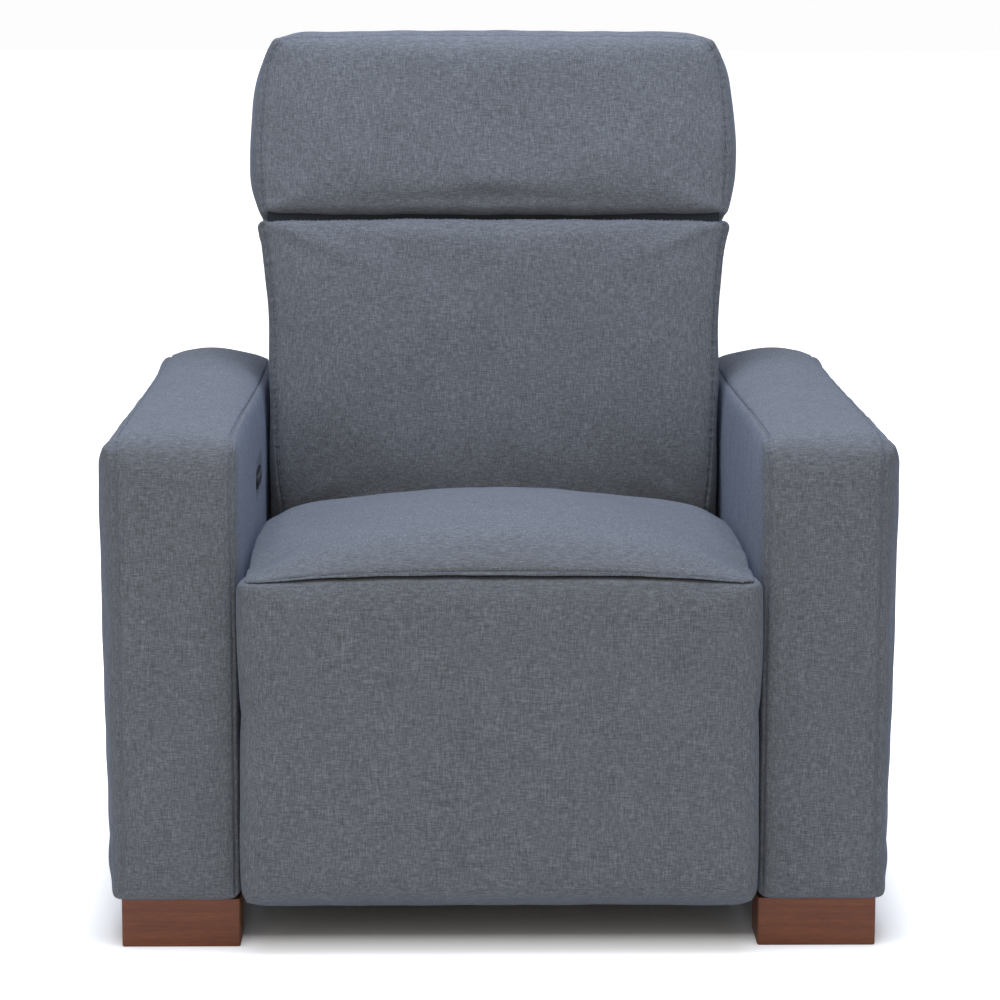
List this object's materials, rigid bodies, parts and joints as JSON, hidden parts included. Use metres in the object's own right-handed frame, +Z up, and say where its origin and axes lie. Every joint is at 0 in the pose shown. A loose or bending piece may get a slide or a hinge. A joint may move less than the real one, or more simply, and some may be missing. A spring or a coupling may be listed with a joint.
{
  "type": "power recliner",
  "caption": "Upholstered power recliner with padded arms on block feet, a gliding seat, a reclining back, a tilting headrest and a linkage that lifts the footrest.",
  "frame": {"origin": "centre of the chair's footprint on the floor", "axes": "+Z up from the floor, -Y the way a sitter faces, +X towards the sitter's left arm"},
  "size_m": [0.9, 0.8779, 1.0131],
  "materials": {
    "upholstery": "heathered woven blue-grey",
    "foot_wood": "dark red-brown stain, satin",
    "frame_wood": "plain sawn pine and plywood",
    "black_steel": "black powder coat",
    "zinc_steel": "bright zinc",
    "rail_aluminium": "plain drawn",
    "motor_plastic": "moulded, matte",
    "black_plastic": "moulded, satin",
    "button_plastic": "moulded, slight gloss",
    "webbing": "woven strap"
  },
  "bodies": {
    "base": {"arm_frame_left": "frame_wood", "arm_frame_right": "frame_wood", "arm_cover_left": "upholstery", "arm_cover_right": "upholstery", "foot_front_left": "foot_wood", "foot_rear_left": "foot_wood", "foot_front_right": "foot_wood", "foot_rear_right": "foot_wood", "rear_panel": "upholstery", "power_inlet": "black_plastic", "frame_bolts": "zinc_steel", "base_rail_left": "black_steel", "base_rail_right": "black_steel", "base_front_tube": "black_steel", "base_rear_tube": "black_steel", "recline_actuator_channel": "rail_aluminium", "recline_motor": "motor_plastic", "control_plate": "black_plastic"},
    "front_swing": {"front_swing_links": "black_steel", "swing_cross_tube": "black_steel"},
    "rear_swing": {"rear_swing_links": "black_steel"},
    "push_links": {"back_push_links": "black_steel"},
    "seat": {"seat_plate_left": "black_steel", "seat_plate_right": "black_steel", "seat_cross_tube": "black_steel", "seat_frame": "frame_wood", "seat_springs": "zinc_steel", "seat_cushion": "upholstery", "footrest_actuator_channel": "rail_aluminium", "footrest_motor": "motor_plastic"},
    "footrest_drive": {"footrest_drive_tube": "black_steel", "footrest_drive_link_left": "black_steel", "footrest_drive_link_right": "black_steel"},
    "footrest_guide": {"footrest_guide_links": "black_steel"},
    "footrest_cross": {"footrest_cross_link_left": "black_steel", "footrest_cross_link_right": "black_steel"},
    "footrest_extension": {"footrest_extension_links": "black_steel"},
    "footrest": {"footrest_bracket_left": "black_steel", "footrest_bracket_right": "black_steel", "footrest_board": "frame_wood", "footrest_pad": "upholstery"},
    "front_pad": {"front_pad": "upholstery", "front_pad_board": "frame_wood"},
    "footrest_nut": {"footrest_nut": "motor_plastic"},
    "recline_nut": {"recline_nut": "motor_plastic"},
    "back": {"back_bracket_left": "black_steel", "back_bracket_right": "black_steel", "back_frame": "frame_wood", "back_straps": "webbing", "back_cushion": "upholstery", "back_shell": "upholstery", "headrest_hinges_lower": "zinc_steel"},
    "headrest": {"headrest_hinges_upper": "zinc_steel", "headrest_board": "frame_wood", "headrest_cushion": "upholstery"},
    "button_footrest_out": {"button_footrest_out": "button_plastic"},
    "button_footrest_in": {"button_footrest_in": "button_plastic"},
    "button_back_recline": {"button_back_recline": "button_plastic"},
    "button_back_upright": {"button_back_upright": "button_plastic"}
  },
  "joints": [
    {"name": "recline", "type": "hinge", "parent": "base", "child": "front_swing", "pos_m": [0, -0.12, 0.15], "axis": [1, 0, 0], "range_deg": [0, 50]},
    {"name": "rear_swing_turn", "type": "hinge", "parent": "base", "child": "rear_swing", "pos_m": [0, 0.22, 0.15], "axis": [1, 0, 0], "range_deg": [0, 50]},
    {"name": "seat_level", "type": "hinge", "parent": "front_swing", "child": "seat", "pos_m": [0, -0.07351, 0.24969], "axis": [1, 0, 0], "range_deg": [-50, 0]},
    {"name": "back_tilt", "type": "hinge", "parent": "seat", "child": "back", "pos_m": [0, 0.13, 0.32], "axis": [-1, 0, 0], "range_deg": [0, 32]},
    {"name": "push_link_turn", "type": "hinge", "parent": "rear_swing", "child": "push_links", "pos_m": [0, 0.32003, 0.20461], "axis": [-1, 0, 0], "range_deg": [0, 23.25]},
    {"name": "recline_nut_slide", "type": "slide", "parent": "base", "child": "recline_nut", "axis": [0, 1, 0], "range_m": [0, 0.05494]},
    {"name": "footrest_lift", "type": "hinge", "parent": "seat", "child": "footrest_drive", "pos_m": [0, -0.255, 0.28502], "axis": [-1, 0, 0], "range_deg": [0, 82]},
    {"name": "guide_link_turn", "type": "hinge", "parent": "seat", "child": "footrest_guide", "pos_m": [0, -0.335, 0.28502], "axis": [-1, 0, 0], "range_deg": [0, 82]},
    {"name": "cross_link_turn", "type": "hinge", "parent": "footrest_guide", "child": "footrest_cross", "pos_m": [0, -0.205, 0.10992], "axis": [-1, 0, 0], "range_deg": [-82, 0]},
    {"name": "extension_link_turn", "type": "hinge", "parent": "footrest_guide", "child": "footrest_extension", "pos_m": [0, -0.21895, 0.17033], "axis": [-1, 0, 0], "range_deg": [-82, 0]},
    {"name": "footrest_turn", "type": "hinge", "parent": "footrest_cross", "child": "footrest", "pos_m": [0, -0.308, 0.2619], "axis": [-1, 0, 0], "range_deg": [0, 82]},
    {"name": "front_pad_turn", "type": "hinge", "parent": "seat", "child": "front_pad", "pos_m": [0, -0.438, 0.437], "axis": [-1, 0, 0], "range_deg": [0, 82]},
    {"name": "footrest_nut_slide", "type": "slide", "parent": "seat", "child": "footrest_nut", "axis": [0, -1, 0], "range_m": [0, 0.0656]},
    {"name": "headrest_tilt", "type": "hinge", "parent": "back", "child": "headrest", "pos_m": [0, 0.19535, 0.78069], "axis": [1, 0, 0], "range_deg": [0, 20]},
    {"name": "press_footrest_out", "type": "slide", "parent": "base", "child": "button_footrest_out", "axis": [-1, 0, 0], "range_m": [0, 0.0015], "stiffness_N_per_m": 400},
    {"name": "press_footrest_in", "type": "slide", "parent": "base", "child": "button_footrest_in", "axis": [-1, 0, 0], "range_m": [0, 0.0015], "stiffness_N_per_m": 400},
    {"name": "press_back_recline", "type": "slide", "parent": "base", "child": "button_back_recline", "axis": [-1, 0, 0], "range_m": [0, 0.0015], "stiffness_N_per_m": 400},
    {"name": "press_back_upright", "type": "slide", "parent": "base", "child": "button_back_upright", "axis": [-1, 0, 0], "range_m": [0, 0.0015], "stiffness_N_per_m": 400}
  ],
  "couplings": [
    {"joint": "rear_swing_turn", "follows": "recline", "ratio": 1},
    {"joint": "seat_level", "follows": "recline", "ratio": -1},
    {"joint": "back_tilt", "follows": "recline", "ratio": 0.64},
    {"joint": "push_link_turn", "follows": "recline", "ratio": 0.46506},
    {"joint": "recline_nut_slide", "follows": "recline", "m_per_rad": 0.06296},
    {"joint": "guide_link_turn", "follows": "footrest_lift", "ratio": 1},
    {"joint": "cross_link_turn", "follows": "footrest_lift", "ratio": -1},
    {"joint": "extension_link_turn", "follows": "footrest_lift", "ratio": -1},
    {"joint": "footrest_turn", "follows": "footrest_lift", "ratio": 1},
    {"joint": "front_pad_turn", "follows": "footrest_lift", "ratio": 1},
    {"joint": "footrest_nut_slide", "follows": "footrest_lift", "m_per_rad": 0.04584}
  ]
}
